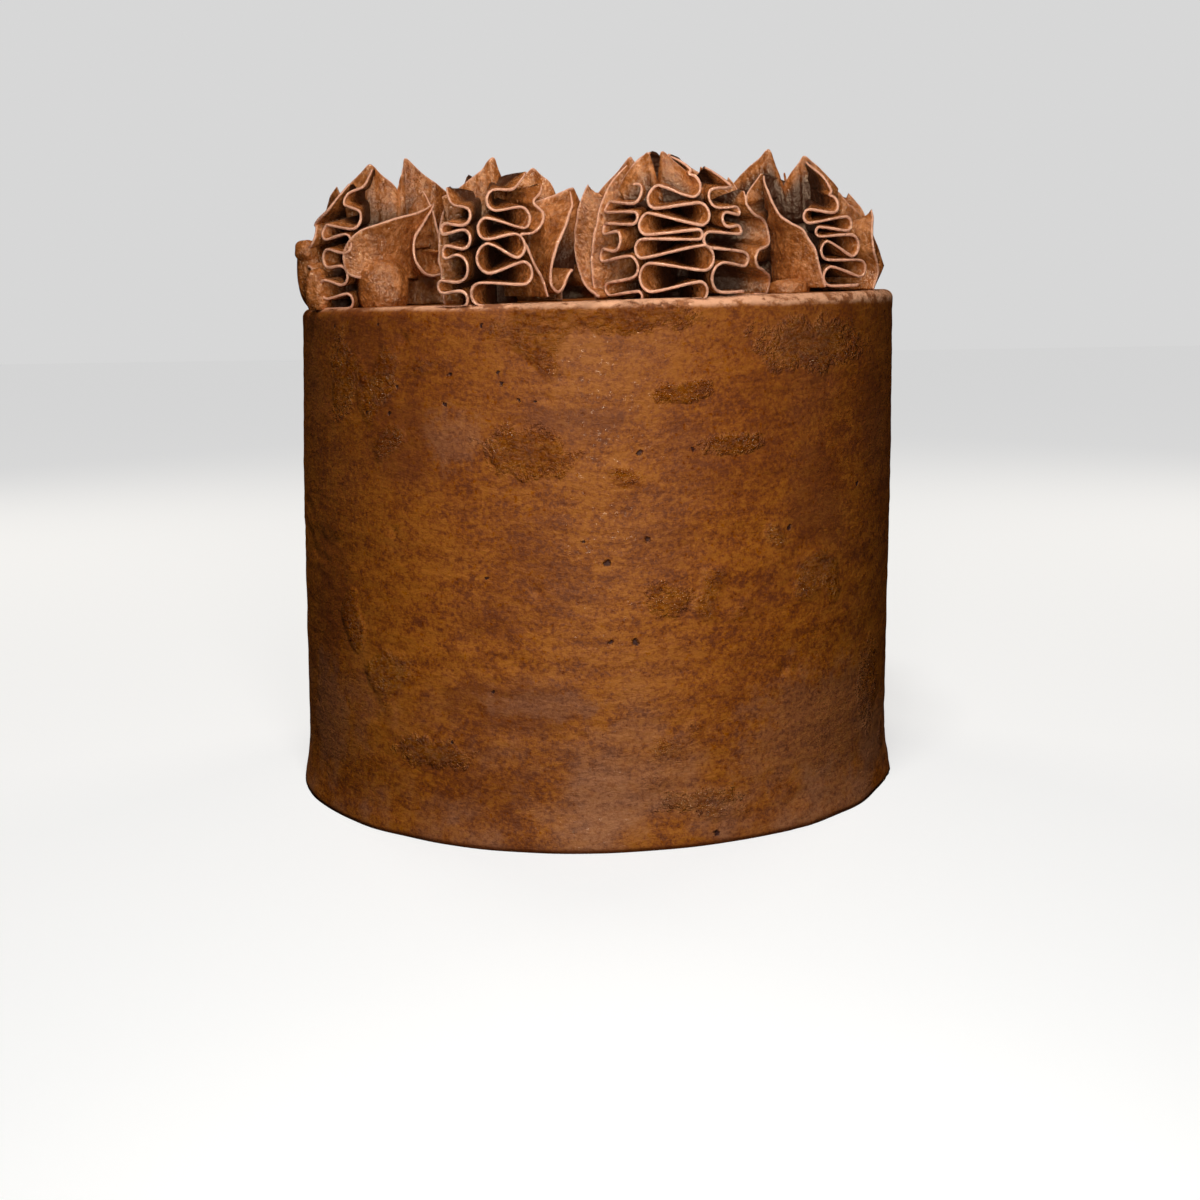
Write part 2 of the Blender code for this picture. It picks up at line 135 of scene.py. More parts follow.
# The fins' fine form
SHOWN_SPACING = 0.42
HIDDEN_SPACING = 0.62
SHOWN_SHEET_ROWS = 13
HIDDEN_SHEET_ROWS = 9
MEAN_RADIUS = SWIRL_RADIUS * 0.92  # where lengths along an edge are measured
EDGE_STEPS = 16
CROWN_CURVE_STEPS = 12
FEWEST_PLACES = 8
SHEET_CLOSING = 3  # how many points a smooth fin closes over
ROW_POWER = 1.35  # above 1, a power brings the rows closer together at the edge
CROWN_ROW_POWER = 1.2
SWEEP_POWER = 1.12
LIFT_POWER = 1.25
CLOSING_TURN = 0.9
CLOSING_LEAD = 1.2
CLOSING_POWER = 1.5
RIPPLE_LEAD = 1.1
CROWN_ROUND = 0.012
CROWN_FOOT_WIDTH = 0.86
CREASE_AT_FOOT = 0.35
EDGE_THICKNESS = 0.68
ROOT_THICKNESS = 1.7
POINT_THICKNESS = 0.45
THICKNESS_POWER = 0.7
POINT_RUN = 0.16  # the share of its length over which a fin thins to its point
MOST_POINT_PLACES = 22
RIM_POINTS = 4
# How far a painted highlight spreads from a fin's rim onto its faces, and how strong it is there
RIM_HIGHLIGHT_BAND = 0.03
RIM_HIGHLIGHT_SHARE = 0.6
# How much painted shade each sort of fin gets towards its root
RUFFLE_PAINTED_SHADE = 1.0
CROWN_PAINTED_SHADE = 0.55
SMOOTH_PAINTED_SHADE = 0.2

# How uneven a fin is along its edge: how much, and how many places one change takes
FINE_WANDER = (0.16, 5)
BROAD_WANDER = (0.3, 24)
RIPPLE_WANDER = (0.10, 4)
CROWN_WANDER = (0.35, 9)
BROAD_CREASE = (0.8, 11)
FINE_CREASE = (0.3, 4)
THICKNESS_WANDER = (0.14, 7)

# The lumps and the core
DOLLOP_ROWS = 28
DOLLOP_COLUMNS = 56
DOLLOP_POWER = 0.8  # below 1, it makes a lump squarer than a ball
DOLLOP_WOBBLE = 0.10
DOLLOP_WOBBLE_SCALE = 1.7
CORE_COLUMNS = 40
CORE_POLE = 0.01
CORE_PROFILE = ((0, 1), (0.4, 0.98), (0.7, 0.9), (0.92, 0.7), (1, 0.3), (1, 0))

# The camera that the photo's outlines were fitted to
SENSOR_WIDTH = 36
LENS = 49.53
CAMERA_PLACE = (1.5 * MM, -459 * MM, CAKE_HEIGHT + 2.3 * MM)
CAMERA_DOWN_DEG = 10.63
CAMERA_ROLL_DEG = 0.9

# The floor and the background
FLOOR_SIZE = 6
FLOOR_DROP = 0.02 * MM
FLOOR_COLOUR = (0.30, 0.30, 0.29, 1)
FLOOR_ROUGHNESS = 0.75
FLOOR_GLOW = 0.66
BACKGROUND_GLOW = 0.68
WHITE = (1, 1, 1, 1)


def outline_radius(height):
    """How far out a fin's edge is at this height."""
    share = np.clip(np.asarray(height, float) / SWIRL_HEIGHT, 0, 1)
    full = (1 - share**FULLNESS) * (1 - FOOT_TUCK * (1 - share) ** 6)
    return TIP_RADIUS + (SWIRL_RADIUS - TIP_RADIUS) * full


def eased_loops(loops):
    """The loops, with any two that would touch made smaller."""
    eased = [list(loop) for loop in loops]
    for low, high in zip(eased, eased[2:]):
        over = low[2] + high[2] - (high[1] - low[1] - LOOP_CLEARANCE)
        if over > 0:
            low[2] -= over / 2
            high[2] -= over / 2
    return eased


def ruffled_edge(fin):
    """The edge's points, as (degrees, mm up), loop by loop from the foot."""
    side = fin["first"]
    loops = eased_loops(fin["loops"])
    degrees, up, half = loops[0]
    points = [(degrees - side * START_RUN_DEG, max(up - half, 0))]
    for degrees, up, half in loops:
        depth = math.degrees(LOOP_DEPTH * half / outline_radius(up))
        for angle in (math.radians(a) for a in LOOP_ANGLES_DEG):
            points.append((degrees - side * depth * (1 - math.cos(angle)), up + half * math.sin(angle)))
        side = -side
    return points + fin["point"]


def ruffle(
    at, first=1, swing=20, loops=6, pitch=3.9, half=(2.7, 2.7), foot=2.2, point_turn=12, top=33, **more
):
    """A ruffled fin: its loops lie on alternate sides, pitch apart, and it ends in a point."""
    rng = random.Random(round(at + 10 * top))
    side = first
    rows = []
    for i in range(loops):
        degrees = at + side * swing * rng.uniform(*SWING_UNEVEN)
        rows.append((degrees, foot + pitch * i, half[i % 2] * rng.uniform(*HALF_UNEVEN)))
        side = -side
    last, up, last_half = rows[-1]
    start = up + POINT_START * last_half
    point = [(last + (at + point_turn - last) * s, start + (top - start) * s) for s in POINT_SHARES]
    return {"at": at, "first": first, "loops": rows, "point": point, **more}


def leaf(at, bend=10, top=33, root=(5, 0, 0.9), **more):
    """A smooth fin whose edge waves a little as it climbs."""
    edge = [
        (at + bend * math.sin(LEAF_WAVE * i), LEAF_FOOT + (top - LEAF_FOOT) * share)
        for i, share in enumerate(LEAF_SHARES)
    ]
    return {"at": at, "edge": edge, "root": root, **more}


def folds(at, first, loops, point, **more):
    """A ruffled fin whose loops, (degrees, mm up, half height), are each given."""
    return {"at": at, "first": first, "loops": loops, "point": point, **more}


def sheet(at, edge, **more):
    """A smooth fin whose edge, (degrees, mm up), is given."""
    return {"at": at, "edge": edge, **more}


def crown(left, peak, right, foot, top, out, low, sharp=1.0, **more):
    """A broad sheet across the swirl, out in front of its axis, whose upper edge rises to one peak."""
    points = []
    for s in (i / CROWN_STEPS for i in range(-CROWN_STEPS, CROWN_STEPS + 1)):
        across = peak + s * (right - peak) if s > 0 else peak + s * (peak - left)
        points.append((across, foot + (top - foot) * (1 - abs(s)) ** sharp))
    return {"crown": points, "out": out, "low": low, **more}


def back_ruffle(at, first=1, swing=20):
    size = {"loops": BACK_LOOPS, "pitch": BACK_PITCH, "half": (BACK_HALF, BACK_HALF)}
    return ruffle(at, first, swing, foot=BACK_HALF, top=BACK_TOP, **size)


def back_leaf(at):
    return leaf(at, top=BACK_TOP, reach=BACK_LEAF_REACH)


# The four swirls at the front, in order from the left. A dollop is (degrees, mm out, mm up, and half
# its width, depth and height). A root is (mm out, degrees round from its own angle, share of the height).
def left_swirl():
    return {
        "fins": [
            folds(
                -37, 1,
                [(-26, 2, 1.8), (-52, 5, 2.3), (-28, 8.3, 2.3), (-48, 12.6, 2.2), (-24, 16, 2.3),
                 (-50, 19, 1.8), (-18, 22, 2.5), (-36, 27, 1.9)],
                [(-20, 30), (-16, 32.5), (-14, 34.5)],
            ),
            sheet(
                -31,
                [(-17, 7.5), (-26, 8.5), (-29, 11), (-29, 14), (-24, 17), (-17, 19), (-4, 20.5), (12, 22),
                 (26, 23), (43, 25)],
                root=(12, 66, 0.6), reach=1.02,
            ),
            sheet(
                31,
                [(40, 13.5), (44, 12), (43, 9.5), (38, 8), (31, 7.5), (24, 8.5), (19, 11), (18, 14),
                 (20, 17), (28, 20), (38, 23), (48, 25.5)],
                root=(4.5, 7, 0.9),
            ),
            leaf(60, bend=5, top=29, root=(4, 0, 0.95), reach=0.8),
            ruffle(
                -76, -1, swing=9, loops=4, pitch=5.2, half=(2.6, 2.6), foot=3,
                point_turn=34, top=31, reach=0.93,
            ),
            crown(-9.5, -2.5, 4.8, 28, 35.4, 5, 14, 0.7),
            crown(3.2, 6.7, 18.5, 27.5, 36.9, 4, 13, 1.1),
            back_leaf(112),
            back_ruffle(160, -1),
            back_leaf(205),
            back_leaf(245),
        ],
        "dollops": [
            (-3.5, 18.6, 4.6, 6.4, 4.9, 7.2),
            (-58, 20.4, 4.6, 3.2, 3.6, 5.6),
            (-86, 18.5, 9, 3.6, 4.2, 8.5),
            (-80, 20, 15, 2.6, 3, 2.6),
        ],
    }


def left_front_swirl():
    return {
        "fins": [
            folds(
                3, -1,
                [(-17, 2.5, 2.6), (22, 7, 2.8), (-12, 10.5, 3.3), (18, 13.2, 2.9), (-11, 17.2, 2.4),
                 (24, 19.5, 2.4), (-5, 23.6, 2.4)],
                [(15, 26), (25, 28), (36, 30)],
            ),
            folds(
                -28, 1,
                [(-20, 1.6, 1.8), (-40, 4.5, 1.4), (-18, 8.5, 3.1), (-35, 12.3, 1.4), (-16, 15, 2.5),
                 (-36, 17.5, 1.2), (-16, 20.2, 2.4)],
                [(-30, 23), (-36, 25), (-40, 27)],
            ),
            sheet(
                28,
                [(36, 1.5), (32, 5), (25, 9), (20, 13), (16, 15.5), (25, 16), (32, 17.5), (37, 20.5),
                 (31, 23), (40, 25), (48, 27)],
                reach=0.96,
            ),
            sheet(
                50,
                [(56, 7.5), (52, 6), (48, 3.5), (43, 2.5), (37, 4), (36, 7.5), (38, 11), (44, 15),
                 (52, 19), (60, 22.5), (64, 25.5)],
                root=(4.5, 4, 0.9), reach=0.99, flare=7,
            ),
            crown(-11.5, 0.8, 5, 25, 33.7, 6, 12, 1.35),
            crown(5.5, 10.3, 15.5, 25, 31.2, 4, 12, 0.55),
            crown(8.5, 19.5, 21.5, 22.5, 26.4, 8, 6, 0.9),
            leaf(-72, bend=5, top=24, reach=0.62),
            leaf(100, top=29, root=(5, 14, 0.9), reach=0.8),
            back_leaf(145),
            back_ruffle(190, swing=13),
        ],
        "dollops": [],
    }


def right_front_swirl():
    return {
        "fins": [
            folds(
                -6, 1,
                [(15, 1.5, 2.2), (-28, 5, 3.7), (19, 9, 3.6), (-30, 11.5, 2.8), (12, 14.2, 2.2),
                 (-28, 17, 2.6), (18, 18.8, 2.8), (-24, 23, 2.6), (15, 25.4, 2.7)],
                [(10, 29), (1, 31), (-12, 32.5)],
            ),
            folds(
                -44, 1,
                [(-28, 0.9, 1.1), (-58, 2.7, 1.4), (-29, 7.5, 2.5), (-60, 10.5, 1.4), (-41, 13.5, 2.2),
                 (-60, 16.5, 1.2), (-30, 18.5, 1.4), (-62, 21.5, 1.2), (-30, 24, 2.2), (-56, 28, 1.9)],
                [(-56, 30.5), (-52, 32.5), (-42, 33.6)],
            ),
            folds(
                31, -1,
                [(18, 4.5, 3.3), (45, 8.5, 1.6), (13, 13, 2), (40, 15.1, 1), (27, 17.4, 1.9),
                 (43, 19.4, 0.9), (20, 22.3, 2.2)],
                [(43, 25), (37, 27), (24, 29.5)],
                reach=0.99,
            ),
            folds(
                64, 1,
                [(79, 2.5, 2.1), (52, 8.5, 2.2), (73, 14.5, 3.2)],
                [(56, 18.5), (50, 21), (52, 24)],
                reach=1.02,
            ),
            sheet(
                -72,
                [(-58, 1), (-70, 3), (-80, 6), (-86, 9), (-86, 12), (-84, 16), (-81, 20), (-80, 24),
                 (-80, 27)],
                root=(5, 0, 0.9), reach=1.12, flare=6,
            ),
            sheet(
                -66,
                [(-70, 0.5), (-68, 6), (-66, 12.5), (-65, 17), (-67, 21), (-68, 25), (-68, 28),
                 (-64, 31)],
                root=(5, 6, 0.9), reach=1.05,
            ),
            crown(-14, -7.2, -5.3, 25, 33.4, 13, 21, 0.7),
            crown(-5.2, -3.9, 5.6, 24, 33.2, 13, 21, 0.85),
            crown(-4, -2.2, 15.5, 20, 33, 3, 6, 0.75),
            crown(-20, -11, -7, 24, 33, 2, 8, 0.9),
            leaf(100, bend=6, top=28, root=(5, 0, 0.9), reach=0.8),
            back_leaf(138),
            back_leaf(178),
            back_ruffle(216),
        ],
        "dollops": [],
    }


def right_swirl():
    return {
        "fins": [
            sheet(
                10,
                [(13, 1.5), (10, 4.5), (8, 7.5), (6, 10.5), (2, 13), (-2, 15.5), (-10, 17.2),
                 (-17, 19), (-22, 21.5), (-29, 25), (-40, 29)],
                root=(12, -48, 0.75), reach=1.02,
            ),
            ruffle(
                -52, swing=8, loops=6, pitch=3.5, half=(2.1, 2.1), foot=3,
                point_turn=-4, top=30, reach=0.92,
            ),
            folds(
                24, -1,
                [(12, 4, 2.3), (44, 5.7, 2), (10, 10.2, 2.6), (38, 11.3, 2.6), (7, 14.8, 1.8),
                 (33, 16.6, 1.7), (-1, 18.6, 1.9), (25, 21.5, 2.2)],
                [(22, 24.5), (18, 28), (4, 32)],
            ),
            # These two crowns, a hood over a dark hollow, get full painted shade towards their low edges
            crown(-18.5, -8.3, -4.6, 26, 35.8, 4, 20, 0.85, hollow=1.0),
            crown(-5.2, 0.6, 9, 25.5, 33.8, 4, 18, 0.85, hollow=1.0),
            crown(3, 9, 21, 6.5, 25, 2, 0, 0.62),
            leaf(62, bend=5, top=20, root=(5, -2, 0.9), reach=0.95),
            leaf(-88, top=26, root=(5, -10, 0.9), reach=0.7),
            leaf(112, top=25, reach=0.82),
            back_ruffle(150, -1, swing=15),
            back_leaf(190),
            back_leaf(225),
        ],
        "dollops": [(-13, 19, 1.4, 5.4, 4.2, 2.4)],
    }


def back_swirl(lead):
    """A plainer swirl for the back of the ring: ruffled and smooth fins by turns from the angle lead."""
    fins = []
    for i in range(BACK_PAIRS):
        at = lead + i * 360 / BACK_PAIRS
        fins.append(back_ruffle(at, first=1 - 2 * (i % 2)))
        fins.append(back_leaf(at + BACK_LEAF_TURN))
    return {"fins": fins, "dollops": []}


# Each shown swirl and the turn of its form in degrees
RING = ((left_swirl, 79.4), (left_front_swirl, 30.7), (right_front_swirl, -20.6), (right_swirl, -69.7))


def swirl_form(index):
    """The swirl's fins and dollops, the turn of its form in radians and its share of the full height."""
    if index < SHOWN_SWIRLS:
        make_form, turn_deg = RING[index]
        return make_form(), math.radians(turn_deg), 1
    return back_swirl(BACK_LEADS_DEG[index - SHOWN_SWIRLS]), 0, BACK_HEIGHT


def through_points(points, steps):
    """A smooth curve through the points, with this many steps from each one to the next."""
    row = np.array(points, float)
    row = np.concatenate([[2 * row[0] - row[1]], row, [2 * row[-1] - row[-2]]])
    t = np.arange(steps)[:, None] / steps
    curve = []
    for before, start, end, after in zip(row, row[1:], row[2:], row[3:]):
        run = np.linalg.norm(end - start)
        leave = (end - before) * run / max(np.linalg.norm(start - before) + run, TINY)
        arrive = (after - start) * run / max(np.linalg.norm(after - end) + run, TINY)
        curve.append(
            (2 * t**3 - 3 * t**2 + 1) * start
            + (t**3 - 2 * t**2 + t) * leave
            + (3 * t**2 - 2 * t**3) * end
            + (t**3 - t**2) * arrive
        )
    curve.append(row[-2:-1])
    return np.concatenate(curve)


def even_places(curve, spacing):
    """How far along the curve each of its points is, and places on it this far apart."""
    length = np.concatenate([[0], np.cumsum(np.linalg.norm(np.diff(curve, axis=0), axis=1))])
    return length, np.linspace(0, length[-1], max(int(length[-1] / spacing), FEWEST_PLACES))


def fine_edge(fin, spacing):
    """(angles in radians, mm up, how far along the closing point), evenly spaced along the edge."""
    ruffled = "loops" in fin
    edge = ruffled_edge(fin) if ruffled else fin["edge"]
    closing = len(fin["point"]) if ruffled else SHEET_CLOSING
    curve = through_points([(math.radians(degrees) * MEAN_RADIUS, up) for degrees, up in edge], EDGE_STEPS)
    place = np.arange(len(curve)) / EDGE_STEPS
    length, even = even_places(curve, spacing)
    along, up = (np.interp(even, length, curve[:, k]) for k in (0, 1))
    first_closing = len(edge) - 1 - closing
    closed = np.clip((np.interp(even, length, place) - first_closing) / closing, 0, 1)
    return along / MEAN_RADIUS, up, closed


def wander(count, size_and_period, seed):
    """Smooth random numbers, one a place: how large they get, and over how many places they change."""
    size, period = size_and_period
    rng = np.random.default_rng(seed)
    keys = rng.uniform(-1, 1, int(count / period) + 4)
    place = np.arange(count) / period + rng.uniform()
    whole = place.astype(int)
    share = place - whole
    share = share * share * (3 - 2 * share)
    return size * (keys[whole] * (1 - share) + keys[whole + 1] * share)


def polar(radius, angle, height):
    """Points of the swirl's frame, whose outward direction is -Y. Angles open towards +X."""
    return np.stack([radius * np.sin(angle), -radius * np.cos(angle), height], axis=-1)


def fin_sheet(fin, turn, spacing, rows, seed):
    """The middle surface, a row of points from root to edge at each place along the edge."""
    if "crown" in fin:
        return crown_sheet(fin, turn, spacing, rows, seed)
    angle, up, closed = fine_edge(fin, spacing)
    count = len(angle)
    radius = outline_radius(up) * fin.get("reach", 1) + fin.get("flare", 0) * (up / SWIRL_HEIGHT) ** 2
    radius = radius + wander(count, FINE_WANDER, seed) + wander(count, BROAD_WANDER, seed + 1)
    root_radius, root_turn, root_squash = fin.get("root", (ROOT_RADIUS, 0, 1))
    follow = RUFFLE_FOLLOW if "loops" in fin else LEAF_FOLLOW
    middle = math.radians(fin["at"])
    widest = np.maximum(radius - POINT_WIDTH, root_radius)
    inner = root_radius + (widest - root_radius) * closed**POINT_CLOSING
    inner_angle = middle + math.radians(root_turn) + follow * (angle - middle)
    turning = CLOSING_TURN * np.minimum(CLOSING_LEAD * closed, 1) ** CLOSING_POWER
    inner_angle = inner_angle + (angle - inner_angle) * turning
    share = np.clip(up / SWIRL_HEIGHT, 0, 1)
    inner_up = up * root_squash + 4 * ROOT_RISE * share * (1 - share) * (1 - closed)
    across = 1 - (1 - np.linspace(0, 1, rows)) ** ROW_POWER
    ripples = wander(count, RIPPLE_WANDER, seed + 7) / SWIRL_RADIUS
    sheet = np.empty((count, rows, 3))
    for j, place in enumerate(across):
        ripple = ripples * math.sin(math.pi * min(place * RIPPLE_LEAD, 1))
        sheet[:, j] = polar(
            inner + (radius - inner) * place,
            inner_angle + (angle - inner_angle) * place**SWEEP_POWER + turn + ripple,
            inner_up + (up - inner_up) * place**LIFT_POWER,
        )
    return sheet, across


def crown_sheet(fin, turn, spacing, rows, seed):
    """The middle surface of a crown, a row of points from its low edge up to its upper edge."""
    curve = through_points(fin["crown"], CROWN_CURVE_STEPS)
    length, even = even_places(curve, spacing)
    x, up = (np.interp(even, length, curve[:, k]) for k in (0, 1))
    count = len(x)
    up = up + wander(count, CROWN_WANDER, seed)
    across = 1 - (1 - np.linspace(0, 1, rows)) ** CROWN_ROW_POWER
    crease = wander(count, BROAD_CREASE, seed + 4) + wander(count, FINE_CREASE, seed + 5)
    sheet = np.empty((count, rows, 3))
    for j, place in enumerate(across):
        rise = fin["low"] + (up - fin["low"]) * place
        out = fin["out"] + CROWN_BULGE * math.sin(math.pi * place) - CROWN_ROUND * x * x
        out = out + crease * (CREASE_AT_FOOT + (1 - CREASE_AT_FOOT) * place)
        right = x * (CROWN_FOOT_WIDTH + (1 - CROWN_FOOT_WIDTH) * place)
        sheet[:, j] = polar(np.hypot(right, out), np.arctan2(right, out) + turn, rise)
    return sheet, across


def unit(vectors):
    return vectors / np.maximum(np.linalg.norm(vectors, axis=-1, keepdims=True), TINY)


def thick_sheet(sheet, across, seed, hollow):
    """The closed, round-edged solid about a middle surface: points, faces and each point's shares.

    The shares are of a painted highlight along the rim and of painted shade deep in the folds, towards the
    root.
    """
    count = len(sheet)
    outward = np.gradient(sheet, axis=1)
    normal = unit(np.cross(np.gradient(sheet, axis=0), outward))
    outward = unit(outward)
    thickness = ROOT_THICKNESS + (EDGE_THICKNESS - ROOT_THICKNESS) * across**THICKNESS_POWER
    thinning = np.ones(count)
    last = min(int(count * POINT_RUN) + 2, MOST_POINT_PLACES)
    thinning[-last:] = np.linspace(1, POINT_THICKNESS / EDGE_THICKNESS, last)
    uneven = 1 + wander(count, THICKNESS_WANDER, seed + 3)
    half = (thickness[None, :] * (thinning * uneven)[:, None])[..., None] / 2
    rim = []
    for i in range(1, RIM_POINTS + 1):
        angle = math.pi * i / (RIM_POINTS + 1)
        direction = normal[:, -1] * math.cos(angle) + outward[:, -1] * math.sin(angle)
        rim.append(sheet[:, -1] + direction * half[:, -1])
    ring = np.concatenate([sheet + normal * half, np.stack(rim, 1), (sheet - normal * half)[:, ::-1]], axis=1)
    width = ring.shape[1]
    # Painted highlight: full on the rounded rim and fading onto the faces near it
    highlight_band = np.clip((across - (1 - RIM_HIGHLIGHT_BAND)) / RIM_HIGHLIGHT_BAND, 0, 1) * RIM_HIGHLIGHT_SHARE
    rim_highlight = np.concatenate([highlight_band, np.ones(RIM_POINTS), highlight_band[::-1]])
    # Painted shade: growing from the edge towards the root, none on the rim
    depth = np.concatenate([1 - across, np.zeros(RIM_POINTS), (1 - across)[::-1]]) * hollow
    faces = []
    for i in range(count - 1):
        for j in range(width):
            k = (j + 1) % width
            faces.append((i * width + j, i * width + k, (i + 1) * width + k, (i + 1) * width + j))
    faces.append(tuple(range(width))[::-1])
    faces.append(tuple((count - 1) * width + j for j in range(width)))
    shares = np.stack([np.tile(rim_highlight, count), np.tile(depth, count)], axis=1)
    return ring.reshape(-1, 3), faces, shares


def hollow_share(fin):
    """How much painted shade a fin gets towards its root: a ruffled one closes in, a smooth one stays open to
    the light.
    """
    if "hollow" in fin:
        return fin["hollow"]
    if "loops" in fin:
        return RUFFLE_PAINTED_SHADE
    return CROWN_PAINTED_SHADE if "crown" in fin else SMOOTH_PAINTED_SHADE


def turned_grid(profile, columns):
    """Points and faces of a profile of (radius, height) turned about Z."""
    angles = 2 * math.pi * np.arange(columns) / columns
    points = [(r * math.cos(a), r * math.sin(a), z) for r, z in profile for a in angles]
    faces = []
    for i in range(len(profile) - 1):
        for j in range(columns):
            k = (j + 1) % columns
            faces.append((i * columns + j, (i + 1) * columns + j, (i + 1) * columns + k, i * columns + k))
    return np.array(points), faces


def dollop_solid(dollop, turn, seed):
    """A rounded lump, all of it in the light."""
    degrees, out, up, half_width, half_depth, half_height = dollop
    profile = []
    for a in (math.pi * i / DOLLOP_ROWS for i in range(DOLLOP_ROWS + 1)):
        height = math.copysign(abs(math.cos(a)) ** DOLLOP_POWER, math.cos(a))
        profile.append((max(abs(math.sin(a)) ** DOLLOP_POWER, POLE_SHARE), height))
    points, faces = turned_grid(profile, DOLLOP_COLUMNS)
    shift = Vector((seed, 0, 0))
    wobble = [1 + DOLLOP_WOBBLE * noise.noise(Vector(p) * DOLLOP_WOBBLE_SCALE + shift) for p in points]
    points = points * np.array(wobble)[:, None] * (half_width, half_depth, half_height)
    angle = math.radians(degrees) + turn
    points = points @ np.array(Matrix.Rotation(angle, 3, "Z")).T + polar(out, angle, up)
    return points, faces, np.zeros((len(points), 2))


def core_solid():
    """The mound that the fins stand on, in the full painted shade of the fins' roots."""
    profile = [(max(r * CORE_RADIUS, CORE_POLE), h * CORE_HEIGHT) for r, h in CORE_PROFILE]
    points, faces = turned_grid(profile, CORE_COLUMNS)
    return points, faces, np.tile((0.0, 1.0), (len(points), 1))


def piece_from(name, points, faces, shares=None):
    mesh = bpy.data.meshes.new(name)
    mesh.from_pydata(points.tolist(), [], faces)
    mesh.update()
    mesh.shade_smooth()
    if shares is not None:
        # The painted highlight on the rim and the painted shade in the folds, kept on each point
        for k, title in enumerate(("rim", "depth")):
            values = mesh.attributes.new(title, "FLOAT", "POINT")
            values.data.foreach_set("value", np.ascontiguousarray(shares[:, k], dtype=np.float32))
    piece = bpy.data.objects.new(name, mesh)
    bpy.context.scene.collection.objects.link(piece)
    return piece


def make_swirl(index, material):
    form, turn, tall = swirl_form(index)
    shown = index < SHOWN_SWIRLS
    spacing = SHOWN_SPACING if shown else HIDDEN_SPACING
    rows = SHOWN_SHEET_ROWS if shown else HIDDEN_SHEET_ROWS
    solids = []
    for k, fin in enumerate(form["fins"]):
        seed = 100 * index + 10 * k
        solids.append(thick_sheet(*fin_sheet(fin, turn, spacing, rows, seed), seed, hollow_share(fin)))
    solids += [dollop_solid(dollop, turn, index + k) for k, dollop in enumerate(form["dollops"])]
    solids.append(core_solid())
    faces = []
    first = 0
    for solid_points, solid_faces, _ in solids:
        faces += [tuple(i + first for i in face) for face in solid_faces]
        first += len(solid_points)
    points = np.concatenate([solid[0] for solid in solids])
    shares = np.concatenate([solid[2] for solid in solids])
    points[:, 2] = np.maximum(points[:, 2], 0) * tall
    around = math.radians(FIRST_SWIRL_DEG + 360 * index / SWIRLS)
    x = RING_RADIUS * math.sin(around)
    y = -RING_RADIUS * math.cos(around)
    tilt = Euler((0, -math.atan(TOP_SLOPE), 0)).to_matrix() @ Euler((0, 0, around)).to_matrix()
    place = np.array((x + LEAN * CAKE_HEIGHT, y, CAKE_HEIGHT + TOP_SLOPE * x - SETTLING))
    points = points * MM @ np.array(tilt).T + place
    piece = piece_from(f"piped_swirl_{index + 1}", points, faces, shares)
    piece.data.materials.append(material)
    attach(piece, "root")
    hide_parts(f"swirl_{index + 1}")


def cake_profile():
    """(radius, height) rows from the middle of the top, over the rim, down the side to the foot."""
    inner = TOP_RADIUS - RIM_ROUND
    low = CAKE_HEIGHT - RIM_ROUND
    top = [(inner * max(i / TOP_ROWS, POLE_SHARE), CAKE_HEIGHT) for i in range(TOP_ROWS)]
    turns = [math.pi / 2 * i / (RIM_ROWS - 1) for i in range(RIM_ROWS)]
    rim = [(inner + RIM_ROUND * math.sin(a), low + RIM_ROUND * math.cos(a)) for a in turns]
    bulge = LOW_RADIUS + FOOT_CURVE * (FOOT_RADIUS - LOW_RADIUS)
    middle = (TOP_RADIUS + LOW_RADIUS) / 2
    heights = np.array([0, FOOT_EDGE, FOOT_HEIGHT / 2, FOOT_HEIGHT, CAKE_HEIGHT / 2, CAKE_HEIGHT])
    radii = np.array([FOOT_RADIUS, FOOT_RADIUS, bulge, LOW_RADIUS, middle, TOP_RADIUS])
    fine = np.linspace(0, CAKE_HEIGHT, PROFILE_STEPS)
    padded = np.pad(np.interp(fine, heights, radii), PROFILE_SMOOTHING, "edge")
    window = 2 * PROFILE_SMOOTHING + 1
    smooth = np.convolve(padded, np.ones(window) / window, "valid")
    down = np.linspace(low, 0, SIDE_ROWS + 1)[1:]
    return top + rim + list(zip(np.interp(down, fine, smooth), down))


def pit_list():
    """Small burst bubbles, spread evenly round the side: (angle, height, radius, depth)."""
    rng = random.Random(PIT_SEED)
    pits = []
    for i in range(PITS):
        angle = 2 * math.pi * (i * GOLDEN_SHARE % 1)
        height = (PIT_LOWEST + PIT_SPAN * rng.random()) * MM
        size = (PIT_SIZE + PIT_SIZE_SPAN * rng.random() ** 4) * MM
        pits.append((angle, height, size, PIT_DEPTH * size))
    return pits


def wave(size, *place):
    """A smooth random wave of this size, at a place in Blender's noise."""
    return size * noise.noise(Vector(place))


def relief(x, y, z):
    """How far the side stands out from its plain form, in metres: spatula waves, smears and the lip."""
    waves = sum(wave(size, x * along, y * along, z * up + at) for size, along, up, at in SPATULA_WAVES)
    rough = max(wave(1, x * 26 + 7, y * 26, z * 34) - ROUGH_FROM, 0)
    smear = rough * SMEAR_SIZE * noise.fractal(Vector((x * 150, y * 150, z * 260)), *SMEAR_FRACTAL)
    foot = max(0.0, 1 - z / LIP_HEIGHT)
    return (waves + smear + wave(LIP_SIZE * foot, x * 62, y * 62, 2.5)) * MM


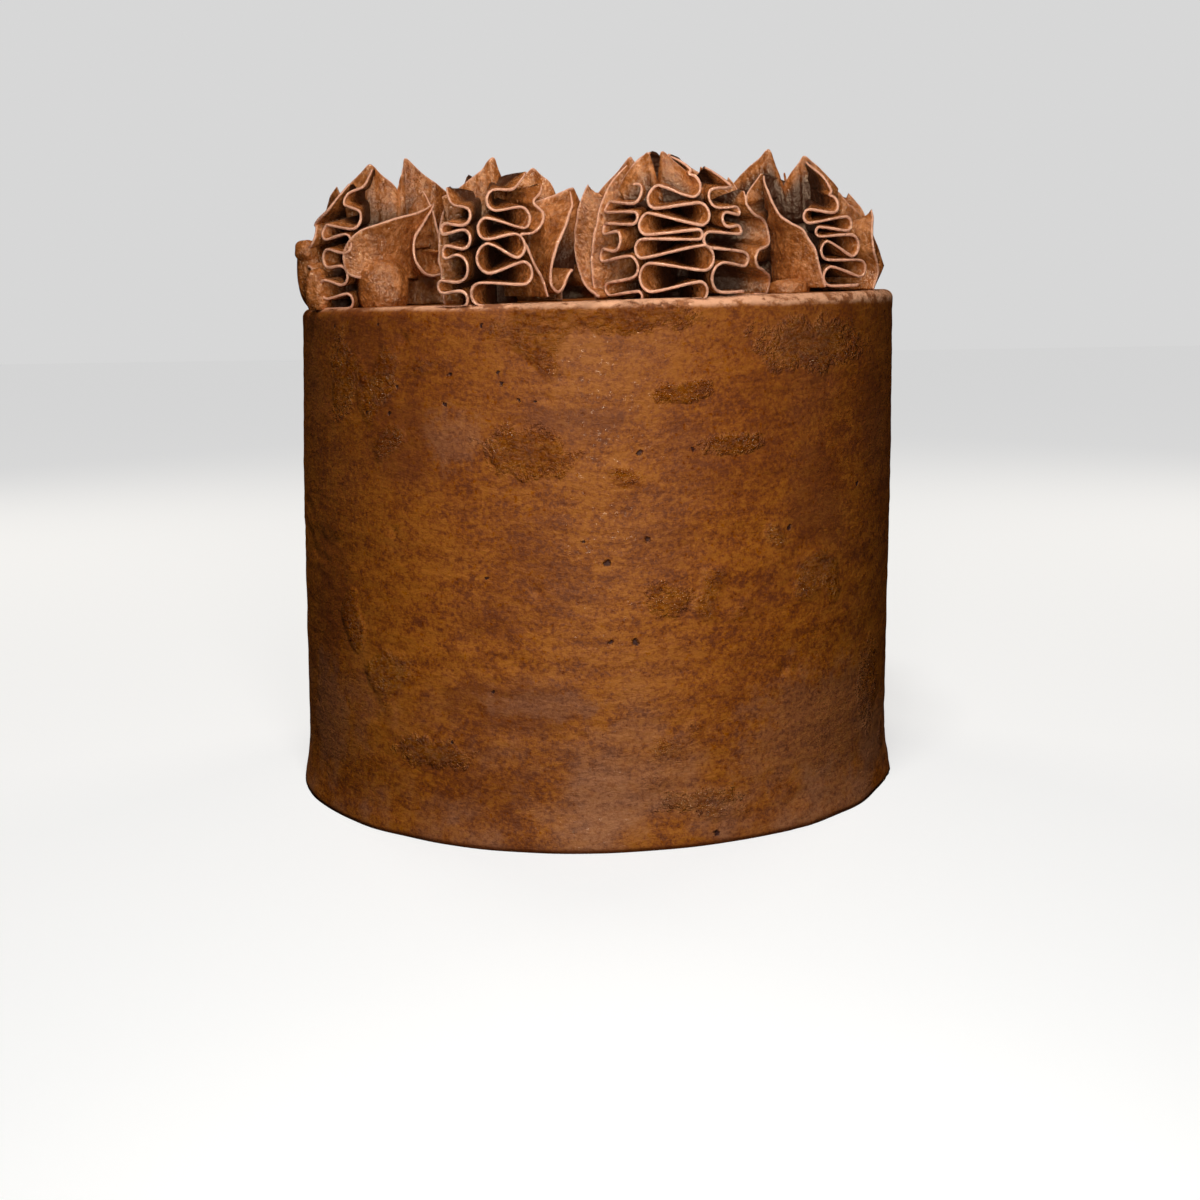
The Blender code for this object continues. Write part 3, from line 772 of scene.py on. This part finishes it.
def make_cake(material):
    points, faces = turned_grid(cake_profile(), CAKE_COLUMNS)
    side_start = (TOP_ROWS + 1) * CAKE_COLUMNS
    angles = np.arctan2(points[:, 1], points[:, 0])
    sink = np.zeros(len(points))
    for angle, height, size, depth in pit_list():
        arc = np.abs((angles - angle + math.pi) % (2 * math.pi) - math.pi) * LOW_RADIUS
        far = (arc / size) ** 2 + ((points[:, 2] - height) / size) ** 2
        near = far < PIT_REACH
        sink[near] += depth * np.exp(-far[near] * PIT_STEEPNESS)
    done = np.empty_like(points)
    for i, (x, y, z) in enumerate(points):
        share = z / CAKE_HEIGHT
        radius = math.hypot(x, y)
        if i >= side_start:
            turn = math.sin(2 * math.atan2(y, x) + SIDE_WAVE_TWIST * share)
            out = SIDE_WAVE * turn * math.sin(math.pi * share) + relief(x, y, z) - sink[i]
            grow = 1 + out / radius
            up = z + TOP_SLOPE * x * share
        else:
            grow = 1
            inward = min((TOP_RADIUS - radius) / RIM_EASE, 1)
            level = wave(0.22, x * 60, y * 60, 5) + wave(0.12, x * 240, y * 30, 1)
            rim = wave(0.25, x * 40, y * 40, 9) * (1 - inward)
            up = z + TOP_SLOPE * x + (level * inward + rim) * MM
        done[i] = (x * grow + LEAN * z, y * grow, up)
    base = tuple(range(len(points) - CAKE_COLUMNS, len(points)))[::-1]
    piece = piece_from("frosted_cake", done, faces + [base])
    piece.data.materials.append(material)
    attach(piece, "root")
    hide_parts("cake")


class Nodes:
    """Short calls for building a material's node tree."""

    def __init__(self, name):
        self.material = bpy.data.materials.new(name)
        self.material.use_nodes = True
        self.tree = self.material.node_tree
        self.shader = self.tree.nodes["Principled BSDF"]

    def put(self, socket, value):
        if isinstance(value, bpy.types.NodeSocket):
            self.tree.links.new(value, socket)
        else:
            socket.default_value = value

    def fill(self, node, inputs):
        """Sets or links a node's inputs by their names, with _ for a space."""
        for key, value in inputs.items():
            self.put(node.inputs[key.replace("_", " ")], value)

    def shade(self, **inputs):
        self.fill(self.shader, inputs)

    def add(self, kind, settings=None, **inputs):
        node = self.tree.nodes.new(kind)
        for key, value in (settings or {}).items():
            setattr(node, key, value)
        self.fill(node, inputs)
        return node

    def noise(self, vector, scale, detail=2.0, roughness=0.5, distortion=0.0, output="Fac"):
        form = {"Scale": scale, "Detail": detail, "Roughness": roughness, "Distortion": distortion}
        return self.add("ShaderNodeTexNoise", Vector=vector, **form).outputs[output]

    def range(self, value, low, high, to_low=0.0, to_high=1.0):
        """From to_low to to_high, smoothly, as the value goes from low to high."""
        limits = {"From_Min": low, "From_Max": high, "To_Min": to_low, "To_Max": to_high}
        smooth = {"interpolation_type": "SMOOTHSTEP"}
        return self.add("ShaderNodeMapRange", smooth, Value=value, **limits).outputs["Result"]

    def math(self, operation, first, second):
        node = self.add("ShaderNodeMath", {"operation": operation})
        self.put(node.inputs[0], first)
        self.put(node.inputs[1], second)
        return node.outputs["Value"]

    def times(self, first, second):
        return self.math("MULTIPLY", first, second)

    def plus(self, first, second):
        return self.math("ADD", first, second)

    def most(self, first, second):
        return self.math("MAXIMUM", first, second)

    def vector_math(self, operation, *vectors, output="Vector"):
        node = self.add("ShaderNodeVectorMath", {"operation": operation})
        for socket, vector in zip(node.inputs, vectors):
            self.put(socket, vector)
        return node.outputs[output]

    def mix(self, share, first, second):
        node = self.add("ShaderNodeMix", {"data_type": "RGBA"})
        self.put(node.inputs[0], share)
        self.put(node.inputs[6], first)
        self.put(node.inputs[7], second)
        return node.outputs[2]

    def bump(self, height, strength, distance, below=None):
        node = self.add("ShaderNodeBump", Height=height, Strength=strength, Distance=distance)
        if below is not None:
            self.put(node.inputs["Normal"], below)
        return node.outputs["Normal"]

    def flattened(self, vector, share):
        """The place with its height scaled, so that a noise's marks lie flatter."""
        return self.add("ShaderNodeMapping", Vector=vector, Scale=(1, 1, share)).outputs["Vector"]


# Marks on the front of the side: degrees from the front, mm up and, for a pit, its radius in mm
FRONT_PITS = (
    (-25.6, 113.5, 0.8), (-26.7, 106.7, 0.8), (-36.8, 110.4, 0.7), (-44.5, 104.1, 0.6), (-38.6, 104.0, 0.6),
    (-16.2, 111.5, 0.7), (-13.1, 107.6, 0.6), (-10.3, 107.3, 0.5), (-16.7, 114.0, 0.5), (-19.6, 124.6, 0.6),
    (-41.0, 125.0, 0.5), (-54.5, 124.4, 0.7), (7.0, 95.3, 0.9), (16.1, 95.8, 0.6), (8.4, 75.1, 1.1),
    (1.6, 69.7, 1.2), (-2.4, 75.0, 0.5), (35.2, 75.6, 0.9), (-19.1, 66.1, 0.6), (-17.9, 38.6, 0.5),
    (-25.7, 25.6, 0.6), (20.6, 2.8, 0.9), (6.3, 50.7, 1.2), (2.2, 50.9, 0.9), (54.1, 83.8, 0.7),
)
# Rough, glinting smears: degrees, mm up, half width and half height in mm
SMEARS = (
    (-12, 96, 9, 4.5), (14, 109, 6, 2), (24, 96.5, 7, 2), (41, 119, 15, 5), (18, 11, 9, 2.6), (12, 61, 5, 3),
    (-52, 112, 5, 8), (-30, 22, 9, 3), (62, 30, 6, 9), (5, 126, 14, 2.5),
)
# Darker patches, in the same terms
DARK_PATCHES = (
    (-35, 98, 12, 9), (-15, 36, 16, 6), (42, 83, 9, 12), (-4, 103, 12, 2.5), (-58, 55, 9, 20),
    (60, 100, 8, 12),
)
# Greyish patches of bloom and of painted sheen, in the same terms
BLOOM_AND_SHEEN_PATCHES = (
    (5, 29, 9, 3.5), (5, 15, 11, 5), (-25, 99, 8, 6), (44, 24, 24, 14), (-60, 24, 10, 14), (-9, 36, 12, 3),
)

DARK_ICING = (0.135, 0.026, 0.003, 1)
MID_ICING = (0.26, 0.060, 0.002, 1)
LIGHT_ICING = (0.37, 0.108, 0.006, 1)
# Bloom, and a painted sheen that stands for the pale floor's reflection
BLOOM_AND_SHEEN_ICING = (0.36, 0.155, 0.080, 1)
# Painted shade in the pits
PIT_SHADE_ICING = (0.034, 0.005, 0.006, 1)
# Painted highlight along the cake's rim
RIM_HIGHLIGHT_ICING = (0.76, 0.38, 0.21, 1)
GLINT = (1, 0.80, 0.58, 1)
DARK_RUFFLE = (0.21, 0.055, 0.012, 1)
MID_RUFFLE = (0.36, 0.108, 0.022, 1)
LIGHT_RUFFLE = (0.56, 0.205, 0.065, 1)
# Painted shade deep in the folds
FOLD_SHADE_RUFFLE = (0.04, 0.008, 0.002, 1)
# Painted highlight along the fins' edges
RIM_HIGHLIGHT_RUFFLE = (0.80, 0.40, 0.25, 1)

PIT_JITTER = 0.0016
PIT_EDGE = (0.95, 0.35)  # the shares of a pit's radius between which it darkens
PATCH_EDGE = (1.45, 0.75)
RAGGEDNESS = 3.2
# The heights between which the painted rim highlight comes in
RIM_HIGHLIGHT_FROM = 0.1278
RIM_HIGHLIGHT_TO = 0.1292


def unrolled(n, where):
    """The side laid flat, as (metres round it from the front, metres up, 0), the height and the radius."""
    split = n.add("ShaderNodeSeparateXYZ", Vector=where)
    x, y, z = (split.outputs[axis] for axis in "XYZ")
    sideways = n.math("SUBTRACT", x, n.times(z, LEAN))
    around = n.math("ARCTAN2", sideways, n.times(y, -1.0))
    flat = n.add("ShaderNodeCombineXYZ", X=n.times(around, LOW_RADIUS), Y=z).outputs["Vector"]
    across = n.add("ShaderNodeCombineXYZ", X=sideways, Y=y).outputs["Vector"]
    return flat, z, n.vector_math("LENGTH", across, output="Value")


def pit_share(n, flat):
    """1 inside a pit of the list and 0 outside. The pits aren't quite round."""
    jitter = n.noise(flat, scale=900, output="Color")
    reach = (PIT_JITTER, PIT_JITTER, 0)
    centring = (-PIT_JITTER / 2, -PIT_JITTER / 2, 0)
    shaken = n.vector_math("ADD", flat, n.vector_math("MULTIPLY_ADD", jitter, reach, centring))
    share = 0.0
    for degrees, up, radius in FRONT_PITS:
        middle = (math.radians(degrees) * LOW_RADIUS, up * MM, 0)
        far = n.vector_math("DISTANCE", shaken, middle, output="Value")
        share = n.most(share, n.range(far, *(radius * MM * edge for edge in PIT_EDGE)))
    return share


def patch_share(n, flat, patches, ragged):
    """1 in the middle of the patches and 0 outside, with a ragged edge."""
    share = 0.0
    for degrees, up, half_width, half_height in patches:
        scale = (1 / (half_width * MM), 1 / (half_height * MM), 1)
        shift = (-math.radians(degrees) * LOW_RADIUS * scale[0], -up * MM * scale[1], 0)
        near = n.add("ShaderNodeMapping", Vector=flat, Scale=scale, Location=shift).outputs["Vector"]
        far = n.vector_math("LENGTH", near, output="Value")
        share = n.most(share, n.range(n.plus(far, ragged), *PATCH_EDGE))
    return share


def smooth_icing():
    n = Nodes("smooth_icing_look")
    where = n.add("ShaderNodeTexCoord").outputs["Object"]
    flat, height, radius = unrolled(n, where)
    wide = n.noise(n.flattened(where, 1.4), scale=26, detail=3, roughness=0.6, distortion=0.2)
    mottle = n.noise(n.flattened(where, 1.7), scale=170, detail=5, roughness=0.72, distortion=0.1)
    speckle = n.noise(where, scale=950, detail=4, roughness=0.8)
    ragged = n.math("SUBTRACT", n.noise(where, scale=150, detail=5, roughness=0.75), 0.5)
    ragged = n.times(ragged, RAGGEDNESS)

    # The mottled brown, with its darker patches
    tone = n.plus(n.times(wide, 0.3), n.times(mottle, 0.7))
    tone = n.plus(n.times(tone, 0.5), n.times(speckle, 0.5))
    colour = n.mix(n.range(tone, 0.42, 0.495), DARK_ICING, MID_ICING)
    colour = n.mix(n.range(tone, 0.485, 0.56), colour, LIGHT_ICING)
    dusk = n.times(patch_share(n, flat, DARK_PATCHES, ragged), 0.5)
    colour = n.mix(n.most(dusk, n.range(wide, 0.47, 0.36, 0.0, 0.25)), colour, DARK_ICING)
    # Painted shade: the side darkens towards the top, up to 30 per cent
    colour = n.mix(n.range(height, 0.055, 0.125, 0, 0.30), colour, DARK_ICING)

    # The greyish bloom, and a painted reflection of the pale floor that grows towards the foot
    # Painted reflection of the pale floor, growing towards the foot
    low = n.range(height, 0.050, 0.012, 0.0, 0.5)
    clouds = n.range(n.noise(where, scale=40, detail=4, roughness=0.65), 0.42, 0.66)
    bloom_and_sheen = n.times(clouds, n.plus(low, 0.06))
    bloom_and_sheen = n.most(bloom_and_sheen, n.times(patch_share(n, flat, BLOOM_AND_SHEEN_PATCHES, ragged), 0.30))
    bloom_and_sheen = n.times(bloom_and_sheen, n.range(speckle, 0.30, 0.60, 0.4, 1.1))
    colour = n.mix(bloom_and_sheen, colour, BLOOM_AND_SHEEN_ICING)

    # The painted highlight along the rim, and the pits with painted shade in them
    # Painted highlight: a broken pale band on the rounded rim
    edge = n.range(n.plus(height, n.times(ragged, 0.0006)), RIM_HIGHLIGHT_FROM, RIM_HIGHLIGHT_TO)
    edge = n.times(edge, n.range(mottle, 0.42, 0.54, 0.15, 1.0))
    edge = n.times(edge, n.range(radius, TOP_RADIUS - 2 * RIM_ROUND, TOP_RADIUS - RIM_ROUND / 2))
    colour = n.mix(edge, colour, RIM_HIGHLIGHT_ICING)
    # Painted shade in the pits: the listed ones and scattered ones
    cells = n.add("ShaderNodeTexVoronoi", Vector=where, Scale=75.0)
    cell_red = n.add("ShaderNodeSeparateColor", Color=cells.outputs["Color"]).outputs["Red"]
    scattered = n.times(n.range(cells.outputs["Distance"], 0.055, 0.03), n.range(cell_red, 0.86, 0.88))
    pits = n.most(pit_share(n, flat), scattered)
    colour = n.mix(pits, colour, PIT_SHADE_ICING)
    # Painted shade: a thin dark line at the very foot, where the cake meets the floor
    colour = n.mix(n.range(height, 0.0016, 0.0004, 0, 0.8), colour, DARK_ICING)

    # Lumps and grain all over, and the smears' torn surface
    scattered_smears = n.range(n.noise(where, scale=32), 0.64, 0.70)
    smears = n.most(patch_share(n, flat, SMEARS, ragged), scattered_smears)
    lumps = n.noise(n.flattened(where, 2.2), scale=260, detail=4, roughness=0.62, distortion=0.4)
    grain = n.noise(where, scale=1000, detail=3, roughness=0.7)
    torn = n.noise(n.flattened(where, 1.6), scale=420, detail=5, roughness=0.72, distortion=1.2)
    normal = n.bump(lumps, strength=0.32, distance=0.0012)
    normal = n.bump(grain, strength=0.32, distance=0.0004, below=normal)
    normal = n.bump(n.times(torn, smears), strength=0.95, distance=0.0012, below=normal)
    normal = n.bump(n.math("SUBTRACT", 1.0, pits), strength=0.8, distance=0.0006, below=normal)

    # Where it glints
    flecks = n.noise(n.flattened(where, 2.0), scale=620, detail=3, roughness=0.7)
    sparks = n.noise(where, scale=760, roughness=0.6)
    shine = n.times(smears, n.range(flecks, 0.45, 0.53))
    shine = n.most(shine, n.times(edge, n.range(flecks, 0.44, 0.58, 0.2, 1.0)))
    shine = n.most(shine, n.range(sparks, 0.62, 0.68, 0.0, 0.8))
    roughness = n.range(shine, 0.0, 1.0, 0.64, 0.12)
    n.shade(Base_Color=colour, Normal=normal, Roughness=roughness, Metallic=0)
    n.shade(Specular_Tint=GLINT, Specular_IOR_Level=0.36)
    return n.material


def piped_icing():
    n = Nodes("piped_icing_look")
    where = n.add("ShaderNodeTexCoord").outputs["Object"]
    rim = n.add("ShaderNodeAttribute", {"attribute_name": "rim"}).outputs["Fac"]
    depth = n.add("ShaderNodeAttribute", {"attribute_name": "depth"}).outputs["Fac"]
    mottle = n.noise(where, scale=240, detail=4, roughness=0.7, distortion=0.1)
    fleck = n.noise(where, scale=900, detail=3, roughness=0.7)
    tone = n.plus(n.times(mottle, 0.6), n.times(fleck, 0.4))
    colour = n.mix(n.range(tone, 0.38, 0.52), DARK_RUFFLE, MID_RUFFLE)
    colour = n.mix(n.range(tone, 0.50, 0.62), colour, LIGHT_RUFFLE)
    # Painted shade deep in the folds, from the depth attribute
    colour = n.mix(n.range(depth, 0.08, 0.42, 0.0, 0.97), colour, FOLD_SHADE_RUFFLE)
    # Painted highlight along each fin's edge, from the rim attribute
    colour = n.mix(n.range(rim, 0.25, 1.0, 0, 0.95), colour, RIM_HIGHLIGHT_RUFFLE)
    waves = n.noise(where, scale=180)
    lumps = n.noise(where, scale=520, detail=3, roughness=0.65)
    grain = n.noise(where, scale=1500, detail=3, roughness=0.7)
    normal = n.bump(waves, strength=0.35, distance=0.0016)
    normal = n.bump(lumps, strength=0.85, distance=0.0011, below=normal)
    normal = n.bump(grain, strength=0.7, distance=0.0004, below=normal)
    wet = n.range(n.noise(where, scale=700, roughness=0.7), 0.34, 0.56)
    wet = n.times(wet, n.range(depth, 0.15, 0.5, 1.0, 0.3))
    roughness = n.range(wet, 0.0, 1.0, 0.46, 0.12)
    n.shade(Base_Color=colour, Normal=normal, Roughness=roughness, Metallic=0)
    n.shade(Specular_Tint=GLINT, Specular_IOR_Level=0.7)
    return n.material


def make_floor():
    bpy.ops.mesh.primitive_plane_add(size=FLOOR_SIZE, location=(0, 0, -FLOOR_DROP))
    floor = bpy.context.object
    floor.name = "floor"
    n = Nodes("pale_floor")
    n.shade(Base_Color=FLOOR_COLOUR, Roughness=FLOOR_ROUGHNESS)
    n.shade(Emission_Color=WHITE, Emission_Strength=FLOOR_GLOW)
    floor.data.materials.append(n.material)
    floor.visible_diffuse = False
    floor.visible_glossy = False


def area_light(name, place, target, size, watts, colour=(1, 1, 1)):
    light = bpy.data.lights.new(name, "AREA")
    light.size = size
    light.energy = watts
    light.color = colour
    lamp = bpy.data.objects.new(name, light)
    bpy.context.scene.collection.objects.link(lamp)
    lamp.location = place
    lamp.rotation_euler = (Vector(target) - Vector(place)).to_track_quat("-Z", "Y").to_euler()
    return lamp


def make_lights():
    key = area_light("key", place=(0.015, -0.31, 0.205), target=(0.005, 0, 0.15), size=0.05, watts=0.70)
    key.data.shape = "RECTANGLE"
    key.data.size_y = 0.34
    key.visible_camera = False
    area_light("top", place=(-0.05, -0.30, 0.74), target=(0, 0, 0.13), size=0.10, watts=2.2)
    sparkle = area_light(
        "sparkle", place=(-0.03, -0.52, 0.33), target=(0, 0, 0.12), size=0.035, watts=1.7,
        colour=(1, 0.88, 0.72),
    )
    sparkle.visible_diffuse = False
    for name, x, watts in (("left_rear", -0.46, 2.295), ("right_rear", 0.46, 2.125)):
        rear = area_light(
            name, place=(x, 0.52, 0.48), target=(0, 0, 0.09), size=0.3, watts=watts, colour=(1, 0.93, 0.84)
        )
        rear.visible_glossy = False
    world = bpy.data.worlds.new("studio")
    world.use_nodes = True
    background = world.node_tree.nodes["Background"]
    background.inputs["Color"].default_value = WHITE
    background.inputs["Strength"].default_value = BACKGROUND_GLOW
    world.cycles_visibility.diffuse = False
    world.cycles_visibility.glossy = False
    bpy.context.scene.world = world


def make_camera():
    camera = bpy.data.cameras.new("camera")
    camera.sensor_width = SENSOR_WIDTH
    camera.lens = LENS
    holder = bpy.data.objects.new("camera", camera)
    bpy.context.scene.collection.objects.link(holder)
    holder.location = CAMERA_PLACE
    pitch = math.radians(CAMERA_DOWN_DEG)
    forward = Vector((0, math.cos(pitch), -math.sin(pitch)))
    rolled = Quaternion(forward, math.radians(CAMERA_ROLL_DEG)) @ forward.to_track_quat("-Z", "Y")
    holder.rotation_euler = rolled.to_euler()
    bpy.context.scene.camera = holder


make_camera()
make_lights()
make_floor()
make_cake(smooth_icing())
ruffle_look = piped_icing()
for number in range(SWIRLS):
    make_swirl(number, ruffle_look)
bpy.context.scene.view_settings.view_transform = "Standard"
